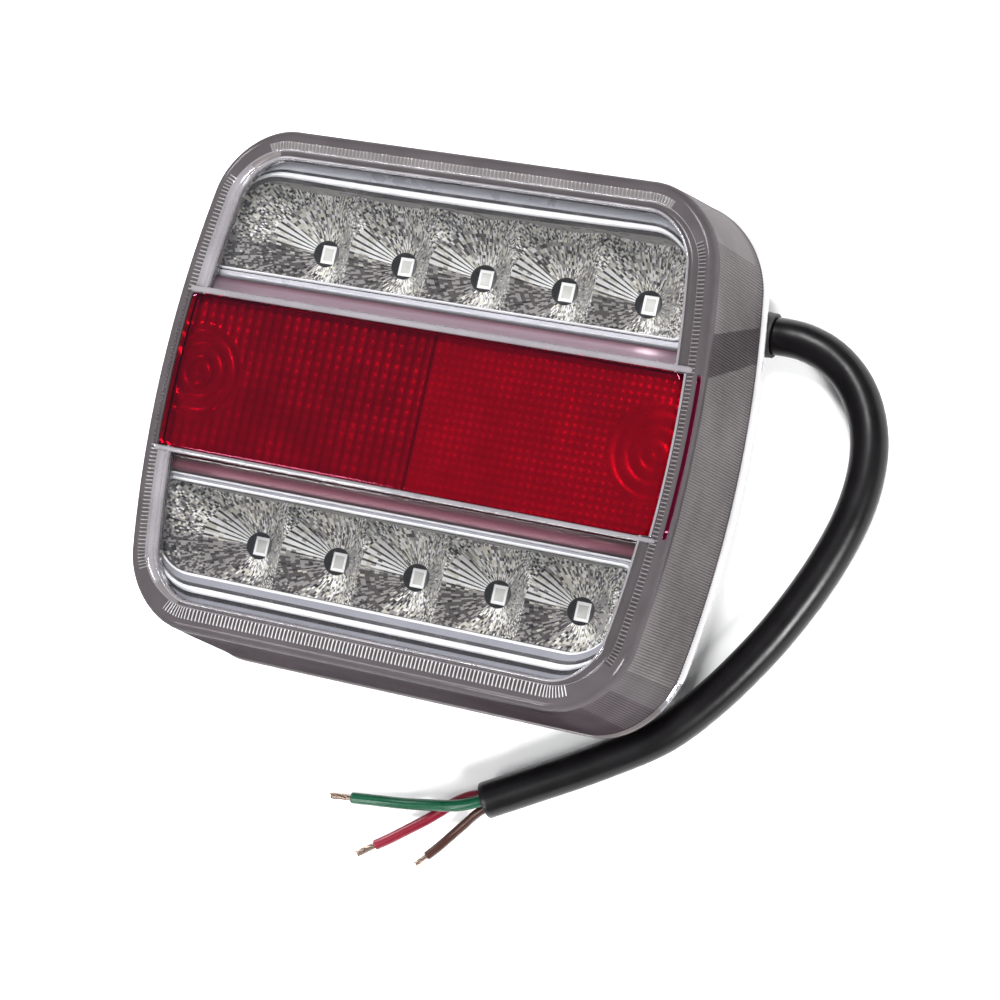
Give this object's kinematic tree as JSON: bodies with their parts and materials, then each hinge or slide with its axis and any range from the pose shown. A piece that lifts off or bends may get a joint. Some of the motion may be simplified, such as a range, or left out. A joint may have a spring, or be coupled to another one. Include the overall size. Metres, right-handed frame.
{
  "type": "trailer tail light",
  "caption": "Square LED trailer tail lamp with a clear ribbed lens, chrome bowl rows, a red centre band, a rear mounting plinth and a short three-core cable.",
  "frame": {"origin": "centre of the lamp at the back face of the mounting plinth, on the surface it lies on", "axes": "+Z out of the lens face, +X along the rows towards the cable's side, +Y towards the upper row"},
  "size_m": [0.1308, 0.1316, 0.041],
  "materials": {
    "housing": "black moulded ABS with a fine texture",
    "insert_brass": "turned brass",
    "clear_lens": "clear moulded acrylic, ribbed inside the lip and down the walls",
    "seal_rubber": "black sealing bead",
    "red_lens": "deep red moulded acrylic, glossy face",
    "reflex_red": "dark red prism plate",
    "diffuser_red": "red ribbed diffuser",
    "reflector_chrome": "vacuum-metallised plastic with small facets",
    "reflector_white": "white moulded plastic",
    "board_mask": "white solder mask",
    "led_body": "white LED package",
    "led_silicone": "clear silicone over the dies",
    "chip_black": "black chip package",
    "solder": "bright solder",
    "screw_steel": "zinc-plated steel",
    "grommet_rubber": "black rubber",
    "cable_pvc": "glossy black PVC",
    "clamp_plastic": "black nylon",
    "green_pvc": "green PVC insulation",
    "red_pvc": "red PVC insulation",
    "brown_pvc": "brown PVC insulation",
    "bare_wire": "bare copper strands, lightly tinned"
  },
  "bodies": {
    "root": {"rear_housing": "housing", "mounting_inserts": "insert_brass", "lens_cover": "clear_lens", "lens_seal": "seal_rubber", "red_lens": "red_lens", "reflex_plate": "reflex_red", "tail_diffuser": "diffuser_red", "upper_reflector": "reflector_chrome", "lower_reflector": "reflector_chrome", "center_reflector": "reflector_white", "led_board": "board_mask", "upper_leds": "led_body", "lower_leds": "led_body", "tail_leds": "led_body", "led_windows": "led_silicone", "resistors": "chip_black", "diodes": "chip_black", "solder_joints": "solder", "board_screws": "screw_steel", "cable_grommet": "grommet_rubber", "cable_inner_end": "cable_pvc", "cable_clamp": "clamp_plastic", "clamp_screw": "screw_steel", "green_lead": "green_pvc", "red_lead": "red_pvc", "brown_lead": "brown_pvc", "cable_jacket": "cable_pvc", "green_wire": "green_pvc", "red_wire": "red_pvc", "brown_wire": "brown_pvc", "green_strands": "bare_wire", "red_strands": "bare_wire", "brown_strands": "bare_wire"}
  },
  "joints": []
}
